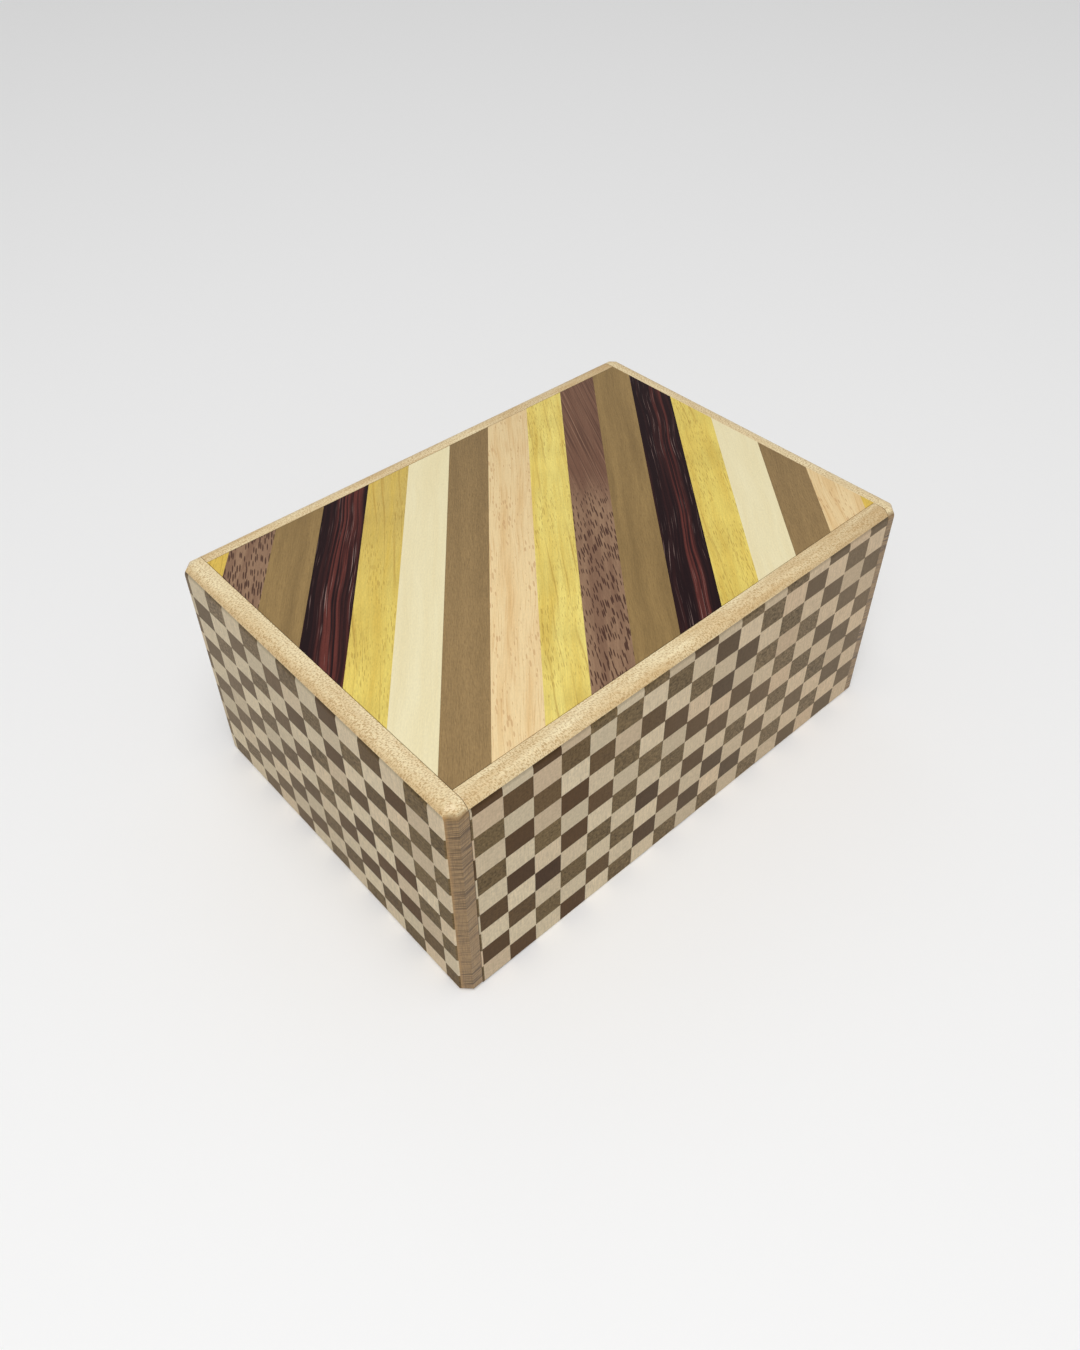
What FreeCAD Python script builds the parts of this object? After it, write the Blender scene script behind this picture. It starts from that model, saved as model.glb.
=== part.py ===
import FreeCAD, Part
import math
import os
import Sketcher

# Sliding-lid trick box, millimetres.
# Origin at the middle of the underside, X along the box, Y across it towards the back, Z up.

SIZES = [
    ("box_length", 121.2, "outside length"),
    ("box_width", 85.5, "outside width"),
    ("box_height", 54.0, "outside height"),
    ("board_thickness", 4.1, "side and end boards with their marquetry"),
    ("marquetry_thickness", 0.25, "shaved marquetry sheet glued on a board"),
    ("edge_rounding", 2.5, "top outer edges"),
    ("corner_chamfer", 1.9, "upright corners of the box"),
    ("bottom_rounding", 0.6, "bottom outer edges"),
    ("sliding_gap", 0.12, "clearance of every sliding fit"),
    ("end_lift", 0.3, "left end board above the table"),
    ("strip_thickness", 1.0, "solid wood strips on the lid"),
    ("core_thickness", 2.6, "lid core board"),
    ("tongue_thickness", 1.3, "side tongues of the lid and the floor"),
    ("groove_depth", 1.6, "depth of the grooves in the side boards"),
    ("batten_width", 6.0, "batten across the closed end of the lid"),
    ("cap_height", 6.7, "end cap of the lid, above the right end board"),
    ("end_tongue_length", 2.0, "tongues that hold the batten and the cap"),
    ("end_tongue_thickness", 0.9, "thickness of those tongues"),
    ("end_tongue_inset", 4.0, "where those tongues stop short of the lid edge"),
    ("inner_wall_thickness", 2.5, "walls of the inner case"),
    ("floor_thickness", 3.0, "floor board"),
    ("floor_recess", 0.5, "floor board above the table"),
    ("panel_drop", 5.0, "travel of the left end board"),
    ("runner_spacing", 44.0, "between the two runners of the left end board"),
    ("runner_neck", 4.0, "runner width against the end board"),
    ("runner_tip", 5.6, "runner width inside its slot"),
    ("runner_height", 1.7, "how far a runner stands off the end board"),
    ("runner_length", 32.0, "length of a runner"),
    ("stripe_angle", 50.2, "strips against the long side, degrees"),
    ("stripe_offset", 0.85, "middle of the centre strip from the lid centre"),
    ("yellow_width", 8.26, "strip of lacquer tree wood"),
    ("walnut_width", 8.36, "strip of walnut"),
    ("olive_width", 8.98, "strip of olive brown magnolia"),
    ("rosewood_width", 8.8, "strip of rosewood"),
    ("cream_width", 8.81, "strip of spindle tree wood"),
    ("brown_width", 8.65, "strip of camphor"),
    ("peach_width", 9.09, "strip of peach cherry"),
]
CENTRE_WOOD = 0
WOODS = ["yellow", "walnut", "olive", "rosewood", "yellow", "cream", "brown", "peach"]

doc = FreeCAD.newDocument("trick_box")
sheet = doc.addObject("Spreadsheet::Sheet", "sizes")
for row, (alias, value, meaning) in enumerate(SIZES, start=1):
    sheet.set(f"A{row}", alias)
    sheet.set(f"B{row}", str(value))
    sheet.set(f"C{row}", meaning)
    sheet.setAlias(f"B{row}", alias)
doc.recompute()


def size(alias):
    """Value of one driving dimension."""
    return float(sheet.get(alias))


# Places shared by several pieces, as expressions on the sheet
HALF_LENGTH = "(sizes.box_length / 2)"
HALF_WIDTH = "(sizes.box_width / 2)"
TOP = "sizes.box_height"
GAP = "sizes.sliding_gap"
END_INNER = f"({HALF_LENGTH} - sizes.board_thickness)"
SIDE_INNER = f"({HALF_WIDTH} - sizes.board_thickness)"
CASE_END = f"({END_INNER} - {GAP})"
CAP_INNER = f"({END_INNER} + {GAP})"
LID_EDGE = f"({SIDE_INNER} - {GAP})"
CORE_TOP = f"({TOP} - sizes.strip_thickness)"
CORE_BOTTOM = f"({CORE_TOP} - sizes.core_thickness)"
CORE_MIDDLE = f"({CORE_TOP} - sizes.core_thickness / 2)"
TONGUE_TOP = f"({CORE_MIDDLE} + sizes.tongue_thickness / 2)"
TONGUE_BOTTOM = f"({CORE_MIDDLE} - sizes.tongue_thickness / 2)"
FLOOR_TOP = "(sizes.floor_recess + sizes.floor_thickness)"
FLOOR_MIDDLE = "(sizes.floor_recess + sizes.floor_thickness / 2)"
FLOOR_TONGUE_TOP = f"({FLOOR_MIDDLE} + sizes.tongue_thickness / 2)"
FLOOR_TONGUE_BOTTOM = f"({FLOOR_MIDDLE} - sizes.tongue_thickness / 2)"
GROOVE_FLOOR = f"({SIDE_INNER} + sizes.groove_depth)"
LID_REACH = f"({GROOVE_FLOOR} - {GAP})"
WALL_TOP = f"({CORE_BOTTOM} - {GAP})"
RUNNER_BOTTOM = f"({FLOOR_TOP} + sizes.panel_drop + {GAP})"
RUNNER_TOP = f"({RUNNER_BOTTOM} + sizes.runner_length)"
SEAM = f"({TOP} - sizes.cap_height)"
OVERCUT = "2"
DRESS_SIZE = {"Fillet": "Radius", "Chamfer": "Size"}


def new_body(label):
    """Empty body for one sub-part."""
    body = doc.addObject("PartDesign::Body", label)
    body.Label = label
    return body


def origin_plane(body, role):
    """One of the body's own origin planes."""
    return next(item for item in body.Origin.OriginFeatures if item.Role == role)


def outline(body, role, points, offset):
    """Closed sketch through points given as pairs of expressions."""
    sketch = body.newObject("Sketcher::SketchObject", "Outline")
    sketch.AttachmentSupport = (origin_plane(body, role), [""])
    sketch.MapMode = "FlatFace"
    sketch.setExpression("AttachmentOffset.Base.z", offset)
    places = [FreeCAD.Vector(value_of(across), value_of(along), 0) for across, along in points]
    count = len(places)
    for index, place in enumerate(places):
        sketch.addGeometry(Part.LineSegment(place, places[(index + 1) % count]), False)
    for index in range(count):
        sketch.addConstraint(Sketcher.Constraint("Coincident", index, 2, (index + 1) % count, 1))
    for index, (across, along) in enumerate(points):
        for kind, text, value in (
            ("DistanceX", across, places[index].x),
            ("DistanceY", along, places[index].y),
        ):
            number = sketch.addConstraint(Sketcher.Constraint(kind, -1, 1, index, 1, value))
            sketch.setExpression(f"Constraints[{number}]", text)
    return sketch


def value_of(expression):
    """Number that an expression on the sheet gives now."""
    return float(sheet.evalExpression(expression))


def pad(body, role, points, start, end):
    """Solid between two planes square to the sketch plane's normal."""
    feature = body.newObject("PartDesign::Pad", "Pad")
    feature.Profile = outline(body, role, points, start)
    feature.setExpression("Length", f"({end}) - ({start})")
    doc.recompute()
    return feature


def pocket(body, role, points, start, end):
    """Cut between two planes, checked to remove material."""
    before = body.Shape.Volume
    feature = body.newObject("PartDesign::Pocket", "Pocket")
    feature.Profile = outline(body, role, points, end)
    feature.setExpression("Length", f"({end}) - ({start})")
    doc.recompute()
    if not body.Shape.Volume < before:
        raise ValueError(f"a pocket in {body.Label} removes nothing")
    return feature


def dress(body, kind, amount, chosen):
    """Fillet or chamfer on the edges whose middle points pass the test."""
    base = body.Tip
    names = []
    for number, edge in enumerate(base.Shape.Edges, start=1):
        if chosen(edge.valueAt((edge.FirstParameter + edge.LastParameter) / 2)):
            names.append(f"Edge{number}")
    feature = body.newObject(f"PartDesign::{kind}", kind)
    feature.Base = (base, names)
    feature.setExpression(DRESS_SIZE[kind], amount)
    doc.recompute()
    return feature


def rectangle(x_low, x_high, y_low, y_high):
    """Corner points of a rectangle, as expressions."""
    return [(x_low, y_low), (x_high, y_low), (x_high, y_high), (x_low, y_high)]


def between(sign, near_middle, far):
    """Low and high expressions of a span on one side of the middle."""
    if sign > 0:
        return near_middle, far
    return f"-({far})", f"-({near_middle})"


def at(value, expression):
    """True where a coordinate lies on the given place."""
    return math.isclose(value, value_of(expression), abs_tol=1e-4)


def rounded_side(body, sign):
    """Long side board at full thickness, with its outer edges rounded."""
    outer = f"{sign} * {HALF_WIDTH}"
    y_low, y_high = between(sign, SIDE_INNER, HALF_WIDTH)
    pad(body, "YZ_Plane", rectangle(y_low, y_high, "0", TOP), f"-{CASE_END}", END_INNER)
    dress(body, "Fillet", "sizes.edge_rounding", lambda middle: at(middle.y, outer) and at(middle.z, TOP))
    dress(body, "Fillet", "sizes.bottom_rounding", lambda middle: at(middle.y, outer) and at(middle.z, "0"))


def side_board(label, sign):
    """Side board with grooves for the lid's and the floor's tongues."""
    body = new_body(label)
    rounded_side(body, sign)
    low, high = between(sign, f"{SIDE_INNER} - {OVERCUT}", GROOVE_FLOOR)
    lid_groove = rectangle(low, high, f"{TONGUE_BOTTOM} - {GAP}", f"{TONGUE_TOP} + {GAP}")
    pocket(body, "YZ_Plane", lid_groove, f"-{HALF_LENGTH}", HALF_LENGTH)
    floor_groove = rectangle(low, high, FLOOR_TONGUE_BOTTOM, FLOOR_TONGUE_TOP)
    pocket(body, "YZ_Plane", floor_groove, f"-{HALF_LENGTH}", HALF_LENGTH)
    low, high = between(sign, f"{HALF_WIDTH} - sizes.marquetry_thickness", f"{HALF_WIDTH} + {OVERCUT}")
    seat = rectangle(low, high, f"-{OVERCUT}", f"{TOP} + {OVERCUT}")
    pocket(body, "YZ_Plane", seat, f"-{HALF_LENGTH}", HALF_LENGTH)


def side_marquetry(label, sign):
    """Sheet on a side board, worn through where the board's edges are rounded."""
    body = new_body(label)
    rounded_side(body, sign)
    low, high = between(sign, f"{SIDE_INNER} - {OVERCUT}", f"{HALF_WIDTH} - sizes.marquetry_thickness")
    wood = rectangle(low, high, f"-{OVERCUT}", f"{TOP} + {OVERCUT}")
    pocket(body, "YZ_Plane", wood, f"-{HALF_LENGTH}", HALF_LENGTH)


def end_block(body, sign, inner, low, high):
    """Board across a whole end of the box, with chamfered uprights and a rounded top."""
    outer = f"{sign} * {HALF_LENGTH}"
    inside = f"{sign} * {inner}"
    start, end = between(sign, inner, HALF_LENGTH)
    pad(body, "YZ_Plane", rectangle(f"-{HALF_WIDTH}", HALF_WIDTH, low, high), start, end)

    def upright(middle):
        return at(abs(middle.y), HALF_WIDTH) and at(middle.x, outer)

    def upper(middle):
        return at(middle.z, TOP) and not at(middle.x, inside)

    dress(body, "Chamfer", "sizes.corner_chamfer", upright)
    if high == TOP:
        dress(body, "Fillet", "sizes.edge_rounding", upper)


def keep_end_layer(body, sign, layer):
    """Cut an end block down to its board or to its marquetry."""
    cover = rectangle(
        f"-{HALF_WIDTH} - {OVERCUT}", f"{HALF_WIDTH} + {OVERCUT}", f"-{OVERCUT}", f"{TOP} + {OVERCUT}"
    )
    board = f"{HALF_LENGTH} - sizes.marquetry_thickness"
    if layer == "board":
        start, end = between(sign, board, f"{HALF_LENGTH} + {OVERCUT}")
    else:
        start, end = between(sign, f"{END_INNER} - {OVERCUT}", board)
    pocket(body, "YZ_Plane", cover, start, end)


def end_piece(label, sign, low, high, layer):
    """End board, or its marquetry: it covers the ends of both side boards."""
    body = new_body(label)
    end_block(body, sign, END_INNER, low, high)
    inside = f"{sign} * {END_INNER}"

    def underside(middle):
        return at(middle.z, low) and not at(middle.x, inside)

    dress(body, "Fillet", "sizes.bottom_rounding", underside)
    keep_end_layer(body, sign, layer)


def lid_cap_piece(label, layer):
    """End cap of the lid, or its marquetry: it completes the right end above the end board."""
    body = new_body(label)
    end_block(body, 1, CAP_INNER, SEAM, TOP)
    keep_end_layer(body, 1, layer)
    if layer == "board":
        pocket(body, "YZ_Plane", END_TONGUE, CAP_INNER, f"{CAP_INNER} + sizes.end_tongue_length")


def tongued_profile(low, high, tongue_low, tongue_high, edge, reach):
    """Cross-section of a board with a tongue along each side."""
    right = [(edge, low), (edge, tongue_low), (reach, tongue_low)]
    right += [(reach, tongue_high), (edge, tongue_high), (edge, high)]
    left = [(f"-({across})", along) for across, along in reversed(right)]
    return right + left


LID_PROFILE = tongued_profile(CORE_BOTTOM, CORE_TOP, TONGUE_BOTTOM, TONGUE_TOP, LID_EDGE, LID_REACH)
FLOOR_PROFILE = tongued_profile(
    "sizes.floor_recess", FLOOR_TOP, FLOOR_TONGUE_BOTTOM, FLOOR_TONGUE_TOP, SIDE_INNER, GROOVE_FLOOR
)
CORE_START = f"(sizes.batten_width - {CASE_END})"
END_TONGUE = rectangle(
    f"sizes.end_tongue_inset - {LID_EDGE}",
    f"{LID_EDGE} - sizes.end_tongue_inset",
    f"{CORE_MIDDLE} - sizes.end_tongue_thickness / 2",
    f"{CORE_MIDDLE} + sizes.end_tongue_thickness / 2",
)


def floor_board():
    """Floor glued into the side boards' lower grooves."""
    body = new_body("floor_board")
    pad(body, "YZ_Plane", FLOOR_PROFILE, f"-{CASE_END}", END_INNER)


def long_inner_wall(label, sign):
    """Inner wall glued behind a long side board."""
    body = new_body(label)
    x_low = f"sizes.inner_wall_thickness - {CASE_END}"
    x_high = f"{END_INNER} - sizes.inner_wall_thickness"
    y_low, y_high = between(sign, f"{SIDE_INNER} - sizes.inner_wall_thickness", SIDE_INNER)
    pad(body, "XY_Plane", rectangle(x_low, x_high, y_low, y_high), FLOOR_TOP, WALL_TOP)


def dovetail(middle, clearance):
    """Runner section behind the left end board, or its slot when there is a clearance."""
    foot = f"-{END_INNER}"
    tip = f"(sizes.runner_height + {clearance} - {END_INNER})"
    flare = "((sizes.runner_tip - sizes.runner_neck) / 2 / sizes.runner_height)"
    neck_half = f"(sizes.runner_neck / 2 + {clearance})"
    tip_half = f"(sizes.runner_tip / 2 + {clearance} + {clearance} * {flare})"
    return [
        (foot, f"{middle} - {neck_half}"),
        (tip, f"{middle} - {tip_half}"),
        (tip, f"{middle} + {tip_half}"),
        (foot, f"{middle} + {neck_half}"),
    ]


RUNNER_MIDDLES = {"front": "-sizes.runner_spacing / 2", "back": "sizes.runner_spacing / 2"}


def left_inner_wall():
    """Inner wall with two stopped dovetail slots for the left end board's runners."""
    body = new_body("left_inner_wall")
    x_high = f"sizes.inner_wall_thickness - {CASE_END}"
    wall = rectangle(f"-{CASE_END}", x_high, f"-{SIDE_INNER}", SIDE_INNER)
    pad(body, "XY_Plane", wall, FLOOR_TOP, WALL_TOP)
    for middle in RUNNER_MIDDLES.values():
        pocket(body, "XY_Plane", dovetail(middle, GAP), f"{FLOOR_TOP} - {OVERCUT}", f"{RUNNER_TOP} + {GAP}")


def right_inner_wall():
    """Inner wall glued behind the right end board."""
    body = new_body("right_inner_wall")
    x_low = f"{END_INNER} - sizes.inner_wall_thickness"
    wall = rectangle(x_low, END_INNER, f"-{SIDE_INNER}", SIDE_INNER)
    pad(body, "XY_Plane", wall, FLOOR_TOP, WALL_TOP)


def runner(label, middle):
    """Dovetail runner glued behind the left end board."""
    body = new_body(label)
    pad(body, "XY_Plane", dovetail(middle, "0"), RUNNER_BOTTOM, RUNNER_TOP)


def lid_core_board():
    """Board under the strips, with side tongues and a stopped tongue at each end."""
    body = new_body("lid_core_board")
    pad(body, "YZ_Plane", LID_PROFILE, CORE_START, CAP_INNER)
    pad(body, "YZ_Plane", END_TONGUE, f"{CORE_START} - sizes.end_tongue_length", CORE_START)
    pad(body, "YZ_Plane", END_TONGUE, CAP_INNER, f"{CAP_INNER} + sizes.end_tongue_length")


def lid_end_batten():
    """Batten across the lid's left end, which keeps the core flat."""
    body = new_body("lid_end_batten")
    pad(body, "YZ_Plane", LID_PROFILE, f"-{CASE_END}", CORE_START)
    pocket(body, "YZ_Plane", END_TONGUE, f"{CORE_START} - sizes.end_tongue_length", CORE_START)


def strip_wood(position):
    """Wood of a strip counted from the centre strip."""
    return WOODS[(CENTRE_WOOD + position) % len(WOODS)]


def strip_label(position):
    """Name of a strip by its side and its count from the centre strip."""
    if position == 0:
        return f"lid_strip_centre_{strip_wood(0)}"
    side = "left" if position < 0 else "right"
    return f"lid_strip_{side}_{abs(position)}_{strip_wood(position)}"


def strip_start(position):
    """Distance of a strip's first edge from the centre strip's middle."""
    half = f"sizes.{strip_wood(0)}_width / 2"
    if position > 0:
        passed = [f"sizes.{strip_wood(step)}_width" for step in range(1, position)]
        return " + ".join([half] + passed)
    passed = [f"sizes.{strip_wood(step)}_width" for step in range(position, 0)]
    return "-(" + " + ".join([half] + passed) + ")"


def lid_strips():
    """Diagonal strips of solid wood that cover the lid from corner to corner."""
    field = doc.addObject("Part::Box", "lid_field")
    field.setExpression("Length", f"{CASE_END} + {CAP_INNER}")
    field.setExpression("Width", f"2 * {LID_EDGE}")
    field.setExpression("Height", "sizes.strip_thickness")
    field.setExpression("Placement.Base.x", f"-{CASE_END}")
    field.setExpression("Placement.Base.y", f"-{LID_EDGE}")
    field.setExpression("Placement.Base.z", CORE_TOP)
    doc.recompute()
    turn = math.radians(size("stripe_angle"))
    reach = [
        corner.X * math.sin(turn) - corner.Y * math.cos(turn) - size("stripe_offset")
        for corner in field.Shape.Vertexes
    ]
    first = 0
    while value_of(strip_start(first)) > min(reach):
        first -= 1
    last = 0
    while value_of(strip_start(last + 1)) < max(reach):
        last += 1
    for position in range(first, last + 1):
        wood = strip_wood(position)
        band = doc.addObject("Part::Box", "band")
        half = "(sizes.box_length + sizes.box_width)"
        start = f"({strip_start(position)} + sizes.stripe_offset)"
        side = f"({start} + sizes.{wood}_width)"
        angle = "(sizes.stripe_angle * 1 deg)"
        band.setExpression("Length", f"2 * {half}")
        band.setExpression("Width", f"sizes.{wood}_width")
        band.setExpression("Height", "sizes.strip_thickness")
        band.setExpression("Placement.Rotation.Angle", angle)
        band.setExpression("Placement.Base.x", f"{side} * sin({angle}) - {half} * cos({angle})")
        band.setExpression("Placement.Base.y", f"-{side} * cos({angle}) - {half} * sin({angle})")
        band.setExpression("Placement.Base.z", CORE_TOP)
        strip = doc.addObject("Part::Common", strip_label(position))
        strip.Label = strip_label(position)
        strip.Base = band
        strip.Tool = field
        STRIPS.append(strip)


STRIPS = []

side_board("front_side_board", -1)
side_board("back_side_board", 1)
side_marquetry("front_marquetry", -1)
side_marquetry("back_marquetry", 1)
end_piece("right_end_board", 1, "0", f"{SEAM} - {GAP}", "board")
end_piece("right_marquetry", 1, "0", f"{SEAM} - {GAP}", "marquetry")
floor_board()
long_inner_wall("front_inner_wall", -1)
long_inner_wall("back_inner_wall", 1)
left_inner_wall()
right_inner_wall()

end_piece("left_end_board", -1, "sizes.end_lift", TOP, "board")
end_piece("left_marquetry", -1, "sizes.end_lift", TOP, "marquetry")
for place_name, middle in RUNNER_MIDDLES.items():
    runner(f"left_{place_name}_runner", middle)

lid_core_board()
lid_end_batten()
lid_cap_piece("lid_end_cap", "board")
lid_cap_piece("lid_cap_marquetry", "marquetry")
lid_strips()

doc.recompute()
for item in doc.Objects:
    if "Invalid" in item.State or "Error" in item.State:
        raise ValueError(f"{item.Label} failed to build")

pieces = [item for item in doc.Objects if item.TypeId == "PartDesign::Body"] + STRIPS
for piece in pieces:
    if piece.Shape.isNull() or not piece.Shape.isValid() or not piece.Shape.Solids:
        raise ValueError(f"{piece.Label} has no valid shape")

os.makedirs("parts", exist_ok=True)
for piece in pieces:
    piece.Shape.exportStep(f"parts/{piece.Label}.step")
    print(piece.Label, round(piece.Shape.Volume, 2), "mm3", len(piece.Shape.Solids), "solid")
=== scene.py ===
import math

import bpy
from bpy.props import FloatProperty, FloatVectorProperty, PointerProperty
from mathutils import Euler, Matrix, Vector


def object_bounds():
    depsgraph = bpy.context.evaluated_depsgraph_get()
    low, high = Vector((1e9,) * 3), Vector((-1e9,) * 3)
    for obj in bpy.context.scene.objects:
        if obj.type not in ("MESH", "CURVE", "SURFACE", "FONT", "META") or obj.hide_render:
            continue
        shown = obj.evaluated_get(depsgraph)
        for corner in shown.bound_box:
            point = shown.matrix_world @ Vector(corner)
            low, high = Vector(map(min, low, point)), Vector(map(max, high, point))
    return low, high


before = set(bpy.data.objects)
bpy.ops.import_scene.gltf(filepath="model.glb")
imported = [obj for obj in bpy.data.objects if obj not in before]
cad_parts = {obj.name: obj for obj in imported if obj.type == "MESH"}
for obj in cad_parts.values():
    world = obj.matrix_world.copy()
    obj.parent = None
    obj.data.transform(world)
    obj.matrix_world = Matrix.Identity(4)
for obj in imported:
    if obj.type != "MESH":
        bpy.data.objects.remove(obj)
CAD_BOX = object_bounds()

bl_info = {
    "name": "Marquetry trick box",
    "version": (1, 0, 0),
    "blender": (4, 5, 0),
    "location": "3D Viewport > Sidebar > Trick Box",
    "description": "Finishes a sliding-lid box with checked sides and a striped lid",
    "category": "Object",
}

MILLIMETRES = 1000.0
LOW, HIGH = CAD_BOX
LENGTH, WIDTH, HEIGHT = ((high - low) * MILLIMETRES for low, high in zip(LOW, HIGH))
HALF_LENGTH = LENGTH / 2
HALF_WIDTH = WIDTH / 2

END_PIECES = ("left_end_board", "right_end_board", "lid_end_cap")

# All lengths from here to the faces' table are in millimetres.
CHAMFER = 1.95
END_THICKNESS = 4.0
CHECKED_LENGTH = LENGTH - 2 * END_THICKNESS

# Seven woods come back in the same order at each repeat across the strips.
REPEAT = 69.2
ROSEWOOD_START = 22.4
ROSEWOOD_HALF = 4.5

# Each side's checks: the axis they run along, where the first column and row start, their pitch
# and bow, the span of their woods, and how far along a painted sheen pales their dark checks and
# their light checks blush.
LONG_SIDE = {
    "axis": "x",
    "start": 4.62 - HALF_LENGTH,
    "top": 3.62,
    "column": 6.66,
    "row": 5.57,
    "first_row": -1.0,
    "woods": (0.0, 1.0),
    "far_sheen": (24.0, 100.0),
    "blush": 0.8,
}
SHORT_SIDE = {
    "axis": "y",
    "start": 3.32 - HALF_WIDTH,
    "top": 1.80,
    "column": 6.377,
    "row": 5.2,
    "first_row": 0.0,
    "bow": 0.0,
    "far_sheen": (66.0, 10.0),
    "blush": 0.0,
}
FACES = {
    "front": {**LONG_SIDE, "sense": 1.0, "phase": 0.0, "seed": 1.0, "bow": 0.75},
    "back": {**LONG_SIDE, "sense": -1.0, "phase": 1.0, "seed": 11.0, "bow": 0.4},
    "left": {**SHORT_SIDE, "sense": -1.0, "phase": 0.0, "seed": 21.0, "woods": (0.34, 0.76)},
    "right": {**SHORT_SIDE, "sense": 1.0, "phase": 1.0, "seed": 31.0, "woods": (0.2, 0.9)},
}

# Lacquer and planed wood: the depth of the pores is in metres.
PORE_DEPTH = 0.0001
COAT_ROUGHNESS = 0.22
NOISE_ROUGHNESS = 0.55
PLANED_DARK = 0.72

# Camera at the angle of the photo: metres and degrees.
CAMERA_PLACE = (-0.11929, -0.13016, 0.19065)
CAMERA_TURN = (47.536, 0.34, -42.198)
CAMERA_LENS = 29.19
CAMERA_SHIFT = (-0.001, -0.039)

# Lights: place and side of the square, in metres.
KEY_LIGHT = ((-0.4, -0.6, 3.0), 1.8)
FILL_LIGHT = ((-0.26, -0.25, 0.50), 0.25)
SHEEN_LIGHT = ((0.38, 0.70, 0.91), 0.35)


def colour_property(name, description, default):
    """Colour that shows as a swatch in the panel."""
    return FloatVectorProperty(
        name=name,
        description=description,
        default=default,
        subtype="COLOR",
        size=3,
        min=0.0,
        max=1.0,
    )


def power_property(name, description, default):
    """Power of one light in watts."""
    return FloatProperty(
        name=name, description=description, default=default, min=0.0, unit="POWER"
    )


def linear(red, green, blue):
    """Colour seen on screen, 0 to 255, as the shader's linear colour."""
    shares = (red / 255, green / 255, blue / 255)
    return tuple(c / 12.92 if c <= 0.04045 else ((c + 0.055) / 1.055) ** 2.4 for c in shares)


class BoardSettings(bpy.types.PropertyGroup):
    pale: colour_property("Pale maple", "Flat of the board edges", linear(243, 226, 184))
    warm: colour_property("Warm maple", "Darker growth in the boards", linear(212, 180, 128))
    fleck: colour_property("Fleck", "Short flecks on the board edges", linear(174, 134, 80))
    end_grain: colour_property("End grain", "Sawn ends of the boards", linear(160, 129, 86))
    end_ring: colour_property("Growth ring", "Rings across the sawn ends", linear(82, 58, 32))
    end_edge: colour_property("End edge", "Chamfer beside a sawn end", linear(180, 138, 84))
    roughness: FloatProperty(
        name="Roughness",
        description="Roughness of the lacquer",
        default=0.42,
        min=0.0,
        max=1.0,
        subtype="FACTOR",
    )


class MarquetrySettings(bpy.types.PropertyGroup):
    pale: colour_property("Pale check", "Beige wood of the light checks", linear(209, 193, 163))
    blush: colour_property("Pink check", "Pinkish wood of the light checks", linear(204, 180, 149))
    umber: colour_property("Umber check", "Darkest wood of the dark checks", linear(69, 49, 33))
    sepia: colour_property("Sepia check", "Brown wood of the dark checks", linear(90, 66, 41))
    moss: colour_property("Moss check", "Olive wood of the dark checks", linear(112, 93, 63))
    # Painted sheen: the colour that the dark checks are paled toward far along each side.
    far_sheen: colour_property("Faded check", "Dark checks far along each side", linear(132, 115, 92))
    wander: FloatProperty(
        name="Wander",
        description="Unevenness of the hand-cut checks, mm",
        default=0.14,
        min=0.0,
        max=1.0,
    )


class StripSettings(bpy.types.PropertyGroup):
    yellow: colour_property("Yellow", "Golden yellow strips", linear(228, 205, 104))
    walnut: colour_property("Walnut", "Purple-brown strips", linear(138, 109, 88))
    olive: colour_property("Olive", "Olive-brown strips", linear(146, 120, 76))
    rosewood: colour_property("Rosewood", "Near-black strips", linear(33, 17, 20))
    cream: colour_property("Cream", "Cream strips", linear(240, 229, 188))
    brown: colour_property("Brown", "Mid-brown strips", linear(150, 123, 82))
    peach: colour_property("Peach", "Pinkish-tan strips", linear(240, 213, 162))
    angle: FloatProperty(
        name="Angle",
        description="Strips against the long side",
        default=math.radians(50.2),
        subtype="ANGLE",
    )


class InnerSettings(bpy.types.PropertyGroup):
    planed: colour_property("Planed wood", "Floor, inner walls and lid core", linear(226, 200, 156))
    runner: colour_property("Runner wood", "Hardwood runners", linear(150, 104, 66))


class StageSettings(bpy.types.PropertyGroup):
    floor: colour_property("Floor", "Pale floor and backdrop", (0.94, 0.94, 0.94))
    floor_size: FloatProperty(
        name="Floor size",
        description="Side of the square floor",
        default=8.0,
        min=1.0,
        unit="LENGTH",
    )
    key_power: power_property("Key light", "Power of the large overhead light", 39.0)
    fill_power: power_property("Fill light", "Power of the light beside the camera", 0.85)
    sheen_power: power_property("Sheen light", "Power of the light whose glow the lid reflects", 0.18)
    sky: FloatProperty(
        name="Sky", description="Strength of the even white surroundings", default=0.38, min=0.0
    )


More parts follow.
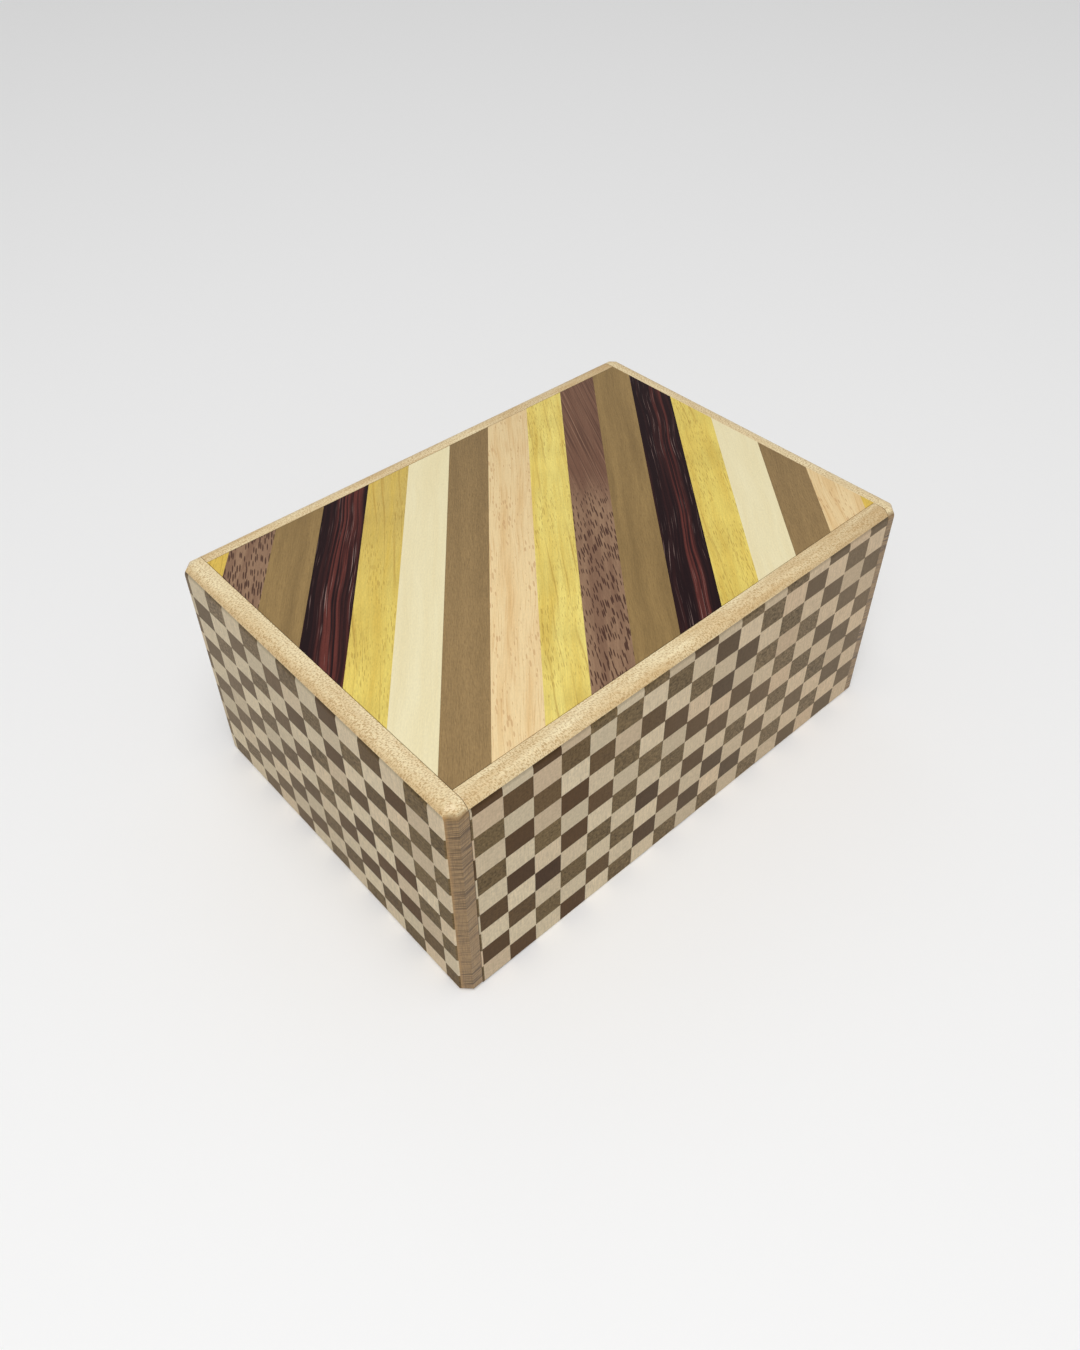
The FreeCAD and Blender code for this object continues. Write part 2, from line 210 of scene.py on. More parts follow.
class Shade:
    """Short calls that lay out one material's nodes."""

    def __init__(self, tree):
        self.tree = tree
        self.column = 0

    def node(self, kind, values=None, **settings):
        """A node with its settings, and its inputs linked or set."""
        made = self.tree.nodes.new(kind)
        self.column += 1
        made.location = (self.column * 40, -self.column % 7 * 160)
        for name, value in settings.items():
            setattr(made, name, value)
        for key, value in (values or {}).items():
            if isinstance(value, bpy.types.NodeSocket):
                self.tree.links.new(value, made.inputs[key])
            else:
                made.inputs[key].default_value = value
        return made

    def math(self, operation, first, second=0.0, third=0.0):
        """Result of one sum on numbers."""
        made = self.node("ShaderNodeMath", {0: first, 1: second, 2: third}, operation=operation)
        return made.outputs[0]

    def join(self, x=0.0, y=0.0, z=0.0):
        """Vector from three numbers."""
        return self.node("ShaderNodeCombineXYZ", {0: x, 1: y, 2: z}).outputs[0]

    def split(self, vector):
        """The three numbers of a vector."""
        return self.node("ShaderNodeSeparateXYZ", {0: vector}).outputs

    def grain(self, first, second, third, sizes, detail=2.0):
        """Soft random value about a half, with features of the given sizes along three places."""
        places = []
        for place, step in zip((first, second, third), sizes):
            if isinstance(place, bpy.types.NodeSocket):
                places.append(self.math("DIVIDE", place, step))
            else:
                places.append(place / step)
        made = self.node(
            "ShaderNodeTexNoise",
            {
                "Vector": self.join(*places),
                "Scale": 1.0,
                "Detail": detail,
                "Roughness": NOISE_ROUGHNESS,
            },
        )
        return made.outputs[0]

    def dashes(self, along, across, length, width, size, seed=0.0):
        """Short separate dashes in cells of the given length and width: 1 inside one, 0 outside."""
        place = self.join(
            self.math("DIVIDE", along, length),
            self.math("MULTIPLY_ADD", across, 1.0 / width, seed),
        )
        made = self.node(
            "ShaderNodeTexVoronoi", {"Vector": place, "Scale": 1.0}, voronoi_dimensions="2D"
        )
        nearness = self.math("SUBTRACT", size, made.outputs["Distance"])
        return self.span(nearness, 0.0, 0.05)

    def random(self, x=0.0, y=0.0, z=0.0):
        """Fixed random value from 0 to 1 for each place given."""
        place = self.join(x, y, z)
        made = self.node("ShaderNodeTexWhiteNoise", {"Vector": place}, noise_dimensions="3D")
        return made.outputs[0]

    def span(self, value, low, high, start=0.0, end=1.0, smooth=False):
        """Value carried from one span to another and held at its ends."""
        made = self.node(
            "ShaderNodeMapRange",
            {0: value, 1: low, 2: high, 3: start, 4: end},
            clamp=True,
            interpolation_type="SMOOTHSTEP" if smooth else "LINEAR",
        )
        return made.outputs[0]

    def mix(self, share, first, second, blend="MIX"):
        """Blend of two colours."""
        made = self.node("ShaderNodeMix", data_type="RGBA", blend_type=blend)
        for key, value in ((0, share), (6, first), (7, second)):
            if isinstance(value, bpy.types.NodeSocket):
                self.tree.links.new(value, made.inputs[key])
            else:
                made.inputs[key].default_value = value if key == 0 else (*value, 1.0)
        return made.outputs[2]

    def place(self):
        """Place on the piece in millimetres, in the box's own axes."""
        coordinates = self.node("ShaderNodeTexCoord").outputs["Object"]
        made = self.node("ShaderNodeVectorMath", {0: coordinates, 3: MILLIMETRES}, operation="SCALE")
        return made.outputs[0]

    def turned(self, vector, angle):
        """Vector in axes turned about Z."""
        made = self.node(
            "ShaderNodeVectorRotate", {"Vector": vector, "Angle": -angle}, rotation_type="Z_AXIS"
        )
        return made.outputs[0]


def new_material(name):
    """Empty node material."""
    material = bpy.data.materials.new(name)
    material.use_nodes = True
    material.node_tree.nodes.clear()
    return material, Shade(material.node_tree)


def finish_wood(shade, colour, relief, roughness, depth, coat, sheen=0.4):
    """Satin lacquer over wood, with the relief of its pores."""
    bump = shade.node("ShaderNodeBump", {"Height": relief, "Distance": PORE_DEPTH, "Strength": depth})
    surface = shade.node(
        "ShaderNodeBsdfPrincipled",
        {
            "Base Color": colour,
            "Roughness": roughness,
            "Coat Weight": coat,
            "Coat Roughness": COAT_ROUGHNESS,
            "Specular IOR Level": sheen,
            "Normal": bump.outputs[0],
        },
    )
    shade.node("ShaderNodeOutputMaterial", {"Surface": surface.outputs[0]})


def toned(shade, colour, change):
    """Colour lightened or darkened by a share of itself."""
    level = shade.math("ADD", change, 1.0)
    return shade.mix(1.0, colour, shade.join(level, level, level), "MULTIPLY")


def repaint(node_name, material):
    """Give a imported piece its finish."""
    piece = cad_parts[node_name]
    piece.data.materials.clear()
    piece.data.materials.append(material)
    for face in piece.data.polygons:
        face.material_index = 0


def true_normal(shade):
    """The three numbers of the direction that a face looks in."""
    return shade.split(shade.node("ShaderNodeNewGeometry").outputs["True Normal"])


def sawn_end(shade, settings, across, y, z):
    """Growth rings, rays and the darker edge of a sawn end, and where the chamfer lies."""
    bend = shade.math("MULTIPLY", shade.math("MULTIPLY", across, across), 0.002)
    wander = shade.math("MULTIPLY", shade.grain(across, 0.0, z, (3.6, 1.0, 9.0), 1.0), 0.5)
    depth = shade.math("ADD", shade.math("ADD", z, bend), wander)
    rings = shade.grain(depth, across, 0.0, (0.38, 6.0, 1.0), 2.0)
    bands = shade.grain(depth, across, 0.0, (1.5, 9.0, 1.0), 2.0)
    rays = shade.grain(across, z, 0.0, (0.15, 2.6, 1.0), 2.0)
    crowd = shade.span(bands, 0.36, 0.60, 0.25, 1.0)
    line = shade.math("MULTIPLY", shade.span(rings, 0.44, 0.56), crowd)
    share = shade.math("MULTIPLY", line, 0.85)
    colour = shade.mix(share, tuple(settings.end_grain), tuple(settings.end_ring))
    colour = shade.mix(shade.span(rays, 0.42, 0.70, 0.0, 0.40), colour, tuple(settings.end_ring))
    inset = shade.math("SUBTRACT", HALF_WIDTH, shade.math("ABSOLUTE", y))
    colour = shade.mix(shade.span(inset, 1.2, 1.8, 0.0, 0.8), colour, tuple(settings.end_edge))
    return colour, shade.math("LESS_THAN", inset, CHAMFER)


def board_material(name, settings, along_y):
    """Pale flecked maple whose sawn ends show growth rings."""
    material, shade = new_material(name)
    x, y, z = shade.split(shade.place())
    along, across = (y, x) if along_y else (x, y)
    nx, ny, nz = true_normal(shade)
    outward = shade.math("ABSOLUTE", nx if along_y else ny)
    warmth = 0.45 if along_y else 0.75
    side_shade_depth = 0.7 if along_y else 0.4

    cloud = shade.grain(along, across, z, (16.0, 2.6, 2.6), 3.0)
    fine = shade.grain(along, across, z, (0.55, 0.30, 0.30), 3.0)
    slant = shade.math("MULTIPLY_ADD", across, 0.35, along)
    flecks = shade.grain(slant, across, z, (0.24, 0.40, 0.40), 1.0)
    patches = shade.grain(along, across, z, (7.0, 2.2, 2.2), 2.0)
    clouded = shade.span(cloud, 0.36, 0.66, 0.0, warmth)
    colour = shade.mix(clouded, tuple(settings.pale), tuple(settings.warm))
    # Painted shade: faces that look out sideways, such as the outer rounding of the rims, turn warm
    # brown; the same mask also crowds the flecks there.
    side = shade.span(outward, 0.30, 0.80, 0.0, side_shade_depth)
    colour = shade.mix(side, colour, tuple(settings.warm))
    crowd = shade.math("MAXIMUM", shade.span(patches, 0.35, 0.65, 0.50, 0.72), side)
    strength = shade.math("MULTIPLY", shade.span(flecks, 0.48, 0.62), crowd)
    colour = shade.mix(strength, colour, tuple(settings.fleck))
    if not along_y:
        # Painted shade: the long boards turn browner toward their +x end, broken up by noise.
        tone = shade.grain(along, across, z, (22.0, 3.0, 6.0), 2.0)
        far = shade.span(along, 12.0, 58.0, 0.0, 0.45)
        painted_far_shade = shade.math("MULTIPLY", far, shade.span(tone, 0.3, 0.55))
        colour = shade.mix(painted_far_shade, colour, tuple(settings.fleck))
    colour = toned(shade, colour, shade.span(fine, 0.25, 0.75, -0.09, 0.09))

    if along_y:
        ends, chamfer = sawn_end(shade, settings, across, y, z)
        sawn = shade.span(shade.math("ABSOLUTE", ny), 0.62, 0.84, smooth=True)
        cut = shade.math("MAXIMUM", sawn, chamfer)
        colour = shade.mix(shade.math("MULTIPLY", cut, shade.span(nz, 0.70, 0.35)), colour, ends)
    relief = shade.math("ADD", fine, shade.math("MULTIPLY", flecks, -0.8))
    finish_wood(shade, colour, relief, settings.roughness, depth=0.3, coat=0.12, sheen=0.3)
    return material


def shaken(shade, value, beside, reach, seed):
    """Value moved by a fixed random amount, up to the reach, at each line between cells."""
    chance = shade.random(shade.math("ROUND", value), beside, seed)
    move = shade.math("MULTIPLY", shade.math("SUBTRACT", chance, 0.5), 2.0 * reach)
    return shade.math("ADD", value, move)


def check_cells(shade, face, wander, run, drop):
    bow = shade.math("SINE", shade.math("MULTIPLY", run, math.pi / CHECKED_LENGTH))
    column = shade.math("DIVIDE", shade.math("MULTIPLY_ADD", bow, face["bow"], run), face["column"])
    row = shade.math("DIVIDE", drop, face["row"])
    seed = face["seed"]
    row_wander = wander / face["row"]

    across = shade.math("FLOOR", shaken(shade, column, 0.0, wander / face["column"], seed))
    slip = shade.math("SUBTRACT", shade.random(across, 3.0, seed), 0.5)
    slipped = shade.math("MULTIPLY_ADD", slip, 3.0 * row_wander, row)
    down = shade.math("FLOOR", shaken(shade, slipped, across, row_wander, seed + 0.5))
    down = shade.math("MAXIMUM", down, face["first_row"])
    count = shade.math("ADD", shade.math("ADD", across, down), 100.0 + face["phase"])
    dark = shade.math("GREATER_THAN", shade.math("MODULO", count, 2.0), 0.5)
    return across, down, dark


def check_material(name, settings, face):
    """Checks of end-grain slivers: face gives the side they lie on and where they start."""
    material, shade = new_material(name)
    x, y, z = shade.split(shade.place())
    run = shade.math("MULTIPLY_ADD", {"x": x, "y": y}[face["axis"]], face["sense"], -face["start"])
    drop = shade.math("MULTIPLY_ADD", z, -1.0, HEIGHT - face["top"])
    across, down, dark = check_cells(shade, face, settings.wander, run, drop)

    seed = face["seed"]
    kind = shade.random(across, down, seed + 1.0)
    stick = shade.random(across, dark, seed + 2.0)
    tone = shade.random(across, down, seed + 3.0)
    blend = shade.math("MULTIPLY_ADD", kind, 0.6, shade.math("MULTIPLY", stick, 0.4))
    blend = shade.span(blend, 0.0, 1.0, *face["woods"])
    # How far along the side: it sets the painted sheen on the dark checks and the blush of the light
    # checks.
    distance = shade.span(run, *face["far_sheen"])
    far_blush = shade.math("MULTIPLY", distance, face["blush"])
    pink = shade.math("MAXIMUM", shade.span(blend, 0.55, 0.85), far_blush)
    light_colour = shade.mix(pink, tuple(settings.pale), tuple(settings.blush))
    brown = shade.span(blend, 0.12, 0.44)
    dark_colour = shade.mix(brown, tuple(settings.umber), tuple(settings.sepia))
    mossy = shade.span(blend, 0.50, 0.62)
    dark_colour = shade.mix(mossy, dark_colour, tuple(settings.moss))
    # Painted sheen: the dark checks pale toward this colour far along each side.
    painted_sheen = shade.math("MULTIPLY", distance, 0.75)
    dark_colour = shade.mix(painted_sheen, dark_colour, tuple(settings.far_sheen))
    colour = shade.mix(dark, light_colour, dark_colour)

    offset = shade.math("MULTIPLY", kind, 61.0)
    fibre = shade.grain(run, offset, drop, (0.26, 1.0, 2.6), 3.0)
    mottle = shade.grain(run, offset, drop, (0.55, 1.0, 0.50), 4.0)
    lined = shade.math("MULTIPLY_ADD", tone, 0.6, 0.15)
    change = shade.math("MULTIPLY", shade.math("SUBTRACT", fibre, 0.5), lined)
    spotted = shade.math("MULTIPLY_ADD", shade.math("MULTIPLY", mossy, dark), 1.9, 0.5)
    change = shade.math("MULTIPLY_ADD", shade.math("SUBTRACT", mottle, 0.5), spotted, change)
    change = shade.math("MULTIPLY_ADD", shade.math("SUBTRACT", tone, 0.5), 0.20, change)
    colour = toned(shade, colour, change)
    upward = true_normal(shade)[2]
    colour = toned(shade, colour, shade.span(upward, 0.12, 0.35, 0.0, -0.35))
    finish_wood(shade, colour, fibre, roughness=0.5, depth=0.1, coat=0.0, sheen=0.06)
    return material


class Strip:
    """Places, noises and tints that the woods of the lid strips share."""

    def __init__(self, shade, base, angle):
        self.shade = shade
        self.base = base
        self.along, self.across = shade.split(shade.turned(shade.place(), angle))[:2]
        self.bend = self.streaks(self.across, 24.0, 14.0, 1.0, 50.0)
        self.waved = shade.math("MULTIPLY_ADD", self.bend, 3.0, self.across)
        self.leaning = self.leant(-0.08)
        self.fibre = self.streaks(self.waved, 4.0, 0.22, 3.0)
        self.broad = self.streaks(self.waved, 38.0, 2.4, 3.0, 4.0)
        self.speck = self.streaks(self.across, 0.7, 0.28, 2.0, 40.0)

    def leant(self, slope):
        """Place across the strip for a grain that leans against it."""
        return self.shade.math("MULTIPLY_ADD", self.along, slope, self.across)

    def streaks(self, across, length, width, detail=2.0, seed=0.0):
        """Noise drawn out along the grain: feature length and width in millimetres."""
        return self.shade.grain(self.along, across, seed, (length, width, 1.0), detail)

    def tinted(self, red, green, blue):
        """The wood's colour with each channel times a share."""
        shares = (red, green, blue)
        return tuple(min(channel * share, 1.0) for channel, share in zip(self.base, shares))


def yellow_wood(shade, strip):
    """Golden wood with fine veins and short pores, darker towards the lid's corners, with painted
    shade on the far part of one strip.
    """
    outward = shade.math("ABSOLUTE", strip.across)
    inner = shade.span(outward, 6.0, 24.0, 1.0, 0.0)
    colour = shade.mix(inner, strip.base, strip.tinted(1.07, 1.12, 1.36))
    colour = shade.mix(shade.span(outward, 40.0, 50.0), colour, strip.tinted(1.0, 0.86, 0.66))
    # Painted shade: the strip in the middle of each repeat is darkened over its far part.
    aside = shade.math("ABSOLUTE", shade.math("SUBTRACT", strip.across, REPEAT / 2.0))
    far = shade.span(strip.along, -30.0, 6.0)
    shaded = shade.math("MULTIPLY", shade.span(aside, 6.0, 5.0), far)
    colour = shade.mix(shaded, colour, strip.tinted(0.80, 0.74, 0.82))
    broad = shade.span(strip.broad, 0.40, 0.66, 0.0, 0.8)
    colour = shade.mix(broad, colour, strip.tinted(0.88, 0.78, 0.60))
    veined = shade.math("MULTIPLY_ADD", strip.bend, 2.0, strip.leaning)
    vein = shade.span(strip.streaks(veined, 44.0, 0.7, 2.0, 8.0), 0.57, 0.68, 0.0, 0.5)
    colour = shade.mix(vein, colour, strip.tinted(0.54, 0.38, 0.24))
    figure = strip.streaks(strip.across, 9.0, 16.0, 1.0, 11.0)
    colour = toned(shade, colour, shade.span(figure, 0.35, 0.65, -0.04, 0.06))
    crowd = shade.span(strip.streaks(strip.across, 14.0, 4.0, 2.0, 9.0), 0.38, 0.60, 0.03, 0.24)
    pore = shade.dashes(strip.along, strip.leaning, 3.6, 0.38, crowd, 10.0)
    return shade.mix(shade.math("MULTIPLY", pore, 0.55), colour, strip.tinted(0.52, 0.39, 0.27))


def walnut_wood(shade, strip):
    """Purple-brown wood with long pores, whose far end is darker and more finely lined."""
    broad = shade.span(strip.broad, 0.42, 0.62)
    colour = shade.mix(broad, strip.tinted(1.24, 1.24, 1.14), strip.tinted(0.88, 0.80, 0.74))
    far = shade.span(shade.math("MULTIPLY_ADD", strip.bend, 12.0, strip.along), 14.0, 26.0)
    colour = shade.mix(shade.math("MULTIPLY", far, 0.9), colour, strip.tinted(0.66, 0.50, 0.46))
    crowd = shade.span(strip.streaks(strip.across, 9.0, 4.0, 2.0, 15.0), 0.36, 0.56, 0.23, 0.34)
    crowd = shade.math("MULTIPLY", crowd, shade.span(far, 0.0, 1.0, 1.0, 0.1))
    pore = shade.dashes(strip.along, strip.leant(-0.12), 3.8, 0.48, crowd, 12.0)
    colour = shade.mix(shade.math("MULTIPLY", pore, 0.9), colour, strip.tinted(0.22, 0.12, 0.11))
    slanting = strip.leant(-0.20)
    line = shade.span(strip.streaks(slanting, 24.0, 0.34, 1.0, 16.0), 0.50, 0.62)
    line = shade.math("MULTIPLY", line, shade.span(far, 0.0, 1.0, 0.1, 0.7))
    colour = shade.mix(line, colour, strip.tinted(0.32, 0.22, 0.20))
    hair = shade.span(strip.streaks(slanting, 30.0, 0.30, 1.0, 13.0), 0.58, 0.70)
    hair = shade.math("MULTIPLY", hair, shade.span(far, 0.0, 1.0, 0.1, 0.5))
    return shade.mix(hair, colour, strip.tinted(1.5, 1.45, 1.4))


def olive_wood(shade, strip):
    """Olive-brown wood with short fine hairs."""
    broad = shade.span(strip.broad, 0.34, 0.66)
    colour = shade.mix(broad, strip.tinted(1.12, 1.10, 1.04), strip.tinted(0.84, 0.81, 0.75))
    hair = shade.span(strip.streaks(strip.leaning, 2.6, 0.13, 2.0, 17.0), 0.52, 0.68, 0.0, 0.5)
    return shade.mix(hair, colour, strip.tinted(0.66, 0.62, 0.54))


def rosewood_wood(shade, strip):
    """Near-black wood with a red-brown middle and pale scratches."""
    swept = shade.math("MULTIPLY_ADD", strip.bend, -2.0, shade.math("MULTIPLY", strip.across, -1.0))
    swept = shade.math("ADD", swept, REPEAT * 2.0 - ROSEWOOD_START)
    inside = shade.math("MODULO", swept, REPEAT)
    middle = shade.math("ABSOLUTE", shade.math("SUBTRACT", inside, ROSEWOOD_HALF))
    middle = shade.math("SUBTRACT", middle, shade.span(strip.across, 0.0, 30.0, 0.0, 1.5))
    wide = shade.span(middle, 1.7, 0.7, smooth=True)
    fringe = shade.span(strip.streaks(strip.waved, 60.0, 0.55, 3.0, 20.0), 0.42, 0.60)
    colour = shade.mix(shade.math("MULTIPLY", wide, fringe), strip.base, linear(100, 50, 44))
    warm = shade.span(strip.streaks(strip.waved, 70.0, 1.0, 2.0, 21.0), 0.48, 0.70, 0.0, 0.6)
    colour = shade.mix(warm, colour, linear(66, 34, 32))
    crowd = shade.span(strip.streaks(strip.across, 26.0, 2.6, 1.0, 24.0), 0.44, 0.60, 0.0, 0.75)
    scratch = shade.span(strip.streaks(strip.waved, 12.0, 0.17, 1.0, 23.0), 0.62, 0.70)
    return shade.mix(shade.math("MULTIPLY", scratch, crowd), colour, linear(166, 138, 130))


def cream_wood(shade, strip):
    """Even cream wood with a faint broad grain."""
    broad = shade.span(strip.broad, 0.35, 0.70)
    return shade.mix(broad, strip.base, strip.tinted(0.95, 0.92, 0.86))


def brown_wood(shade, strip):
    """Mid-brown wood with short fine hairs, and painted shade that darkens its far end a little."""
    broad = shade.span(strip.broad, 0.34, 0.68)
    colour = shade.mix(broad, strip.tinted(1.09, 1.09, 1.06), strip.tinted(0.92, 0.91, 0.87))
    hair = shade.span(strip.streaks(strip.leaning, 1.8, 0.12, 2.0, 18.0), 0.50, 0.66, 0.0, 0.5)
    colour = shade.mix(hair, colour, strip.tinted(0.60, 0.56, 0.48))
    # Painted shade: darker toward the strip's far end.
    return toned(shade, colour, shade.span(strip.along, -30.0, 40.0, 0.04, -0.14))


def peach_wood(shade, strip):
    """Pinkish-tan wood with fine lines and short marks, and painted shade that darkens its far end a
    little.
    """
    broad = shade.span(strip.broad, 0.44, 0.70)
    colour = shade.mix(broad, strip.base, strip.tinted(0.90, 0.80, 0.68))
    lines = shade.span(strip.streaks(strip.waved, 9.0, 0.24, 1.0, 31.0), 0.54, 0.68, 0.0, 0.5)
    colour = shade.mix(lines, colour, strip.tinted(0.76, 0.60, 0.46))
    crowd = shade.span(strip.streaks(strip.across, 14.0, 2.6, 1.0, 32.0), 0.45, 0.65, 0.02, 0.28)
    mark = shade.dashes(strip.along, strip.leaning, 3.4, 0.7, crowd, 33.0)
    colour = shade.mix(shade.math("MULTIPLY", mark, 0.5), colour, strip.tinted(0.62, 0.44, 0.34))
    # Painted shade: darker toward the strip's far end.
    return toned(shade, colour, shade.span(strip.along, -20.0, 50.0, 0.0, -0.10))


# Each wood's colouring and the contrast of its fine grain.
WOODS = {
    "yellow": (yellow_wood, 0.20),
    "walnut": (walnut_wood, 0.20),
    "olive": (olive_wood, 0.24),
    "rosewood": (rosewood_wood, 0.30),
    "cream": (cream_wood, 0.07),
    "brown": (brown_wood, 0.32),
    "peach": (peach_wood, 0.10),
}


def strip_material(wood, settings):
    """Lacquered strip with the grain, pores and colour of its wood along it."""
    material, shade = new_material(f"{wood}_strip")
    strip = Strip(shade, tuple(getattr(settings, wood)), settings.angle)
    colouring, contrast = WOODS[wood]
    colour = colouring(shade, strip)
    lined = shade.math("MULTIPLY", shade.math("SUBTRACT", strip.fibre, 0.5), contrast * 2.0)
    spotted = shade.math("SUBTRACT", strip.speck, 0.5)
    change = shade.math("MULTIPLY_ADD", spotted, max(contrast * 1.6, 0.2), lined)
    colour = toned(shade, colour, change)
    coat, sheen = (0.0, 0.12) if wood == "rosewood" else (0.12, 0.25)
    finish_wood(shade, colour, strip.fibre, roughness=0.40, depth=0.10, coat=coat, sheen=sheen)
    return material


def plain_wood_material(name, tint, axis):
    """Bare planed wood with its grain along one axis."""
    material, shade = new_material(name)
    parts = shade.split(shade.place())
    along = parts["xyz".index(axis)]
    others = [parts[index] for index in range(3) if "xyz"[index] != axis]
    broad = shade.grain(along, others[0], others[1], (40.0, 2.4, 2.4), 3.0)
    fibre = shade.grain(along, others[0], others[1], (5.0, 0.3, 0.3), 3.0)
    darker = tuple(channel * PLANED_DARK for channel in tint)
    colour = shade.mix(shade.span(broad, 0.35, 0.65), tuple(tint), darker)
    colour = toned(shade, colour, shade.span(fibre, 0.25, 0.75, -0.12, 0.12))
    finish_wood(shade, colour, fibre, roughness=0.6, depth=0.2, coat=0.0)
    return material


class TRICKBOX_OT_boards(bpy.types.Operator):
    """Finish the side boards, the end boards and the lid's cap in flecked maple"""

    bl_idname = "trickbox.boards"
    bl_label = "Maple boards"

    def execute(self, context):
        settings = context.scene.trickbox_boards
        along = board_material("maple_along", settings, False)
        across = board_material("maple_across", settings, True)
        for name in ("front_side_board", "back_side_board"):
            repaint(name, along)
        for name in END_PIECES:
            repaint(name, across)
        return {"FINISHED"}


class TRICKBOX_OT_marquetry(bpy.types.Operator):
    bl_idname = "trickbox.marquetry"
    bl_label = "Check marquetry"

    def execute(self, context):
        settings = context.scene.trickbox_marquetry
        for side, face in FACES.items():
            material = check_material(f"{side}_checks", settings, face)
            repaint(f"{side}_marquetry", material)
            if side == "right":
                repaint("lid_cap_marquetry", material)
        return {"FINISHED"}


class TRICKBOX_OT_strips(bpy.types.Operator):
    """Finish each lid strip in its own wood"""

    bl_idname = "trickbox.strips"
    bl_label = "Lid strips"

    def execute(self, context):
        settings = context.scene.trickbox_strips
        made = {}
        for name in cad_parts:
            if name.startswith("lid_strip_"):
                wood = name.rsplit("_", 1)[1]
                if wood not in made:
                    made[wood] = strip_material(wood, settings)
                repaint(name, made[wood])
        return {"FINISHED"}


class TRICKBOX_OT_inner_case(bpy.types.Operator):
    """Finish the floor, the inner walls and the underside of the lid in planed wood"""

    bl_idname = "trickbox.inner_case"
    bl_label = "Inner case"

    def execute(self, context):
        tint = context.scene.trickbox_inner.planed
        along = plain_wood_material("planed_along", tint, "x")
        across = plain_wood_material("planed_across", tint, "y")
        for name in ("floor_board", "front_inner_wall", "back_inner_wall", "lid_core_board"):
            repaint(name, along)
        for name in ("left_inner_wall", "right_inner_wall", "lid_end_batten"):
            repaint(name, across)
        return {"FINISHED"}


class TRICKBOX_OT_runners(bpy.types.Operator):
    """Finish the end board's dovetail runners in hardwood"""

    bl_idname = "trickbox.runners"
    bl_label = "Runners"

    def execute(self, context):
        material = plain_wood_material("runner_wood", context.scene.trickbox_inner.runner, "z")
        for name in ("left_front_runner", "left_back_runner"):
            repaint(name, material)
        return {"FINISHED"}


def area_light(name, setting, target, power):
    """Soft square light aimed at a point."""
    location, side = setting
    lamp = bpy.data.lights.new(name, "AREA")
    lamp.shape = "SQUARE"
    lamp.size = side
    lamp.energy = power
    holder = bpy.data.objects.new(name, lamp)
    holder.location = location
    direction = holder.location - target
    holder.rotation_euler = direction.to_track_quat("Z", "Y").to_euler()
    bpy.context.scene.collection.objects.link(holder)


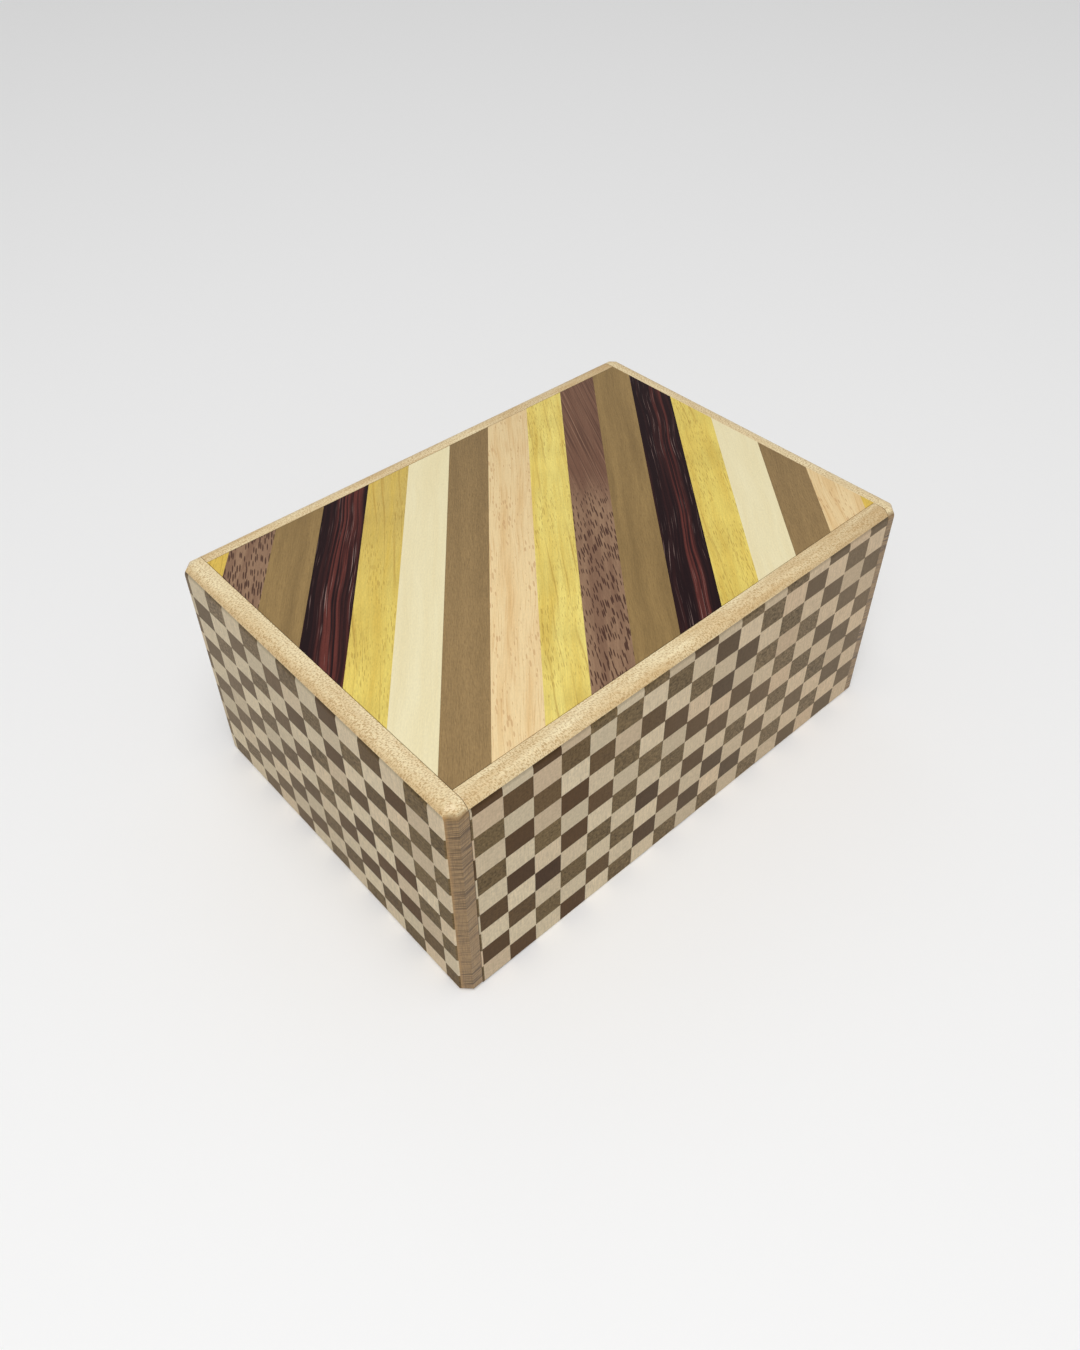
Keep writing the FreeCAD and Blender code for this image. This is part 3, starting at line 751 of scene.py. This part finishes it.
class TRICKBOX_OT_stage(bpy.types.Operator):
    """Set the pale floor, the soft lights and the camera"""

    bl_idname = "trickbox.stage"
    bl_label = "Stage"

    def execute(self, context):
        settings = context.scene.trickbox_stage
        half = settings.floor_size / 2
        mesh = bpy.data.meshes.new("floor")
        corners = [(-half, -half, 0), (half, -half, 0), (half, half, 0), (-half, half, 0)]
        mesh.from_pydata(corners, [], [(0, 1, 2, 3)])
        floor = bpy.data.objects.new("floor", mesh)
        context.scene.collection.objects.link(floor)
        material, shade = new_material("floor_paper")
        surface = shade.node(
            "ShaderNodeBsdfPrincipled", {"Base Color": (*settings.floor, 1.0), "Roughness": 0.9}
        )
        shade.node("ShaderNodeOutputMaterial", {"Surface": surface.outputs[0]})
        mesh.materials.append(material)

        world = bpy.data.worlds.new("soft_white")
        world.use_nodes = True
        background = world.node_tree.nodes["Background"]
        background.inputs["Color"].default_value = (1.0, 1.0, 1.0, 1.0)
        background.inputs["Strength"].default_value = settings.sky
        context.scene.world = world
        context.scene.view_settings.view_transform = "Standard"

        middle = (LOW + HIGH) / 2
        area_light("key", KEY_LIGHT, middle, settings.key_power)
        area_light("fill", FILL_LIGHT, middle, settings.fill_power)
        area_light("sheen", SHEEN_LIGHT, middle, settings.sheen_power)

        camera = bpy.data.cameras.new("camera")
        camera.sensor_width = 36.0
        camera.lens = CAMERA_LENS
        camera.shift_x, camera.shift_y = CAMERA_SHIFT
        camera.clip_start = 0.01
        camera.clip_end = 50.0
        viewer = bpy.data.objects.new("camera", camera)
        viewer.location = CAMERA_PLACE
        viewer.rotation_euler = Euler([math.radians(angle) for angle in CAMERA_TURN])
        context.scene.collection.objects.link(viewer)
        context.scene.camera = viewer
        return {"FINISHED"}


OPERATORS = (
    TRICKBOX_OT_boards,
    TRICKBOX_OT_marquetry,
    TRICKBOX_OT_strips,
    TRICKBOX_OT_inner_case,
    TRICKBOX_OT_runners,
    TRICKBOX_OT_stage,
)


class TRICKBOX_PT_panel(bpy.types.Panel):
    """Every step of the box's finish"""

    bl_idname = "TRICKBOX_PT_panel"
    bl_label = "Trick Box"
    bl_space_type = "VIEW_3D"
    bl_region_type = "UI"
    bl_category = "Trick Box"

    def draw(self, context):
        layout = self.layout
        for operator in OPERATORS:
            layout.operator(operator.bl_idname)
        for name in GROUPS:
            settings = getattr(context.scene, name)
            box = layout.box()
            for field in settings.bl_rna.properties:
                if not field.is_readonly and field.identifier != "name":
                    box.prop(settings, field.identifier)


GROUPS = {
    "trickbox_boards": BoardSettings,
    "trickbox_marquetry": MarquetrySettings,
    "trickbox_strips": StripSettings,
    "trickbox_inner": InnerSettings,
    "trickbox_stage": StageSettings,
}
CLASSES = (*GROUPS.values(), *OPERATORS, TRICKBOX_PT_panel)


def register():
    """Add the classes and the settings to the scene."""
    for item in CLASSES:
        bpy.utils.register_class(item)
    for name, group in GROUPS.items():
        setattr(bpy.types.Scene, name, PointerProperty(type=group))


def unregister():
    """Take the settings and the classes away again."""
    for name in GROUPS:
        delattr(bpy.types.Scene, name)
    for item in reversed(CLASSES):
        bpy.utils.unregister_class(item)


def main():
    """Run every step in order."""
    register()
    bpy.ops.trickbox.boards()
    bpy.ops.trickbox.marquetry()
    bpy.ops.trickbox.strips()
    bpy.ops.trickbox.inner_case()
    bpy.ops.trickbox.runners()
    bpy.ops.trickbox.stage()


if __name__ == "__main__":
    main()
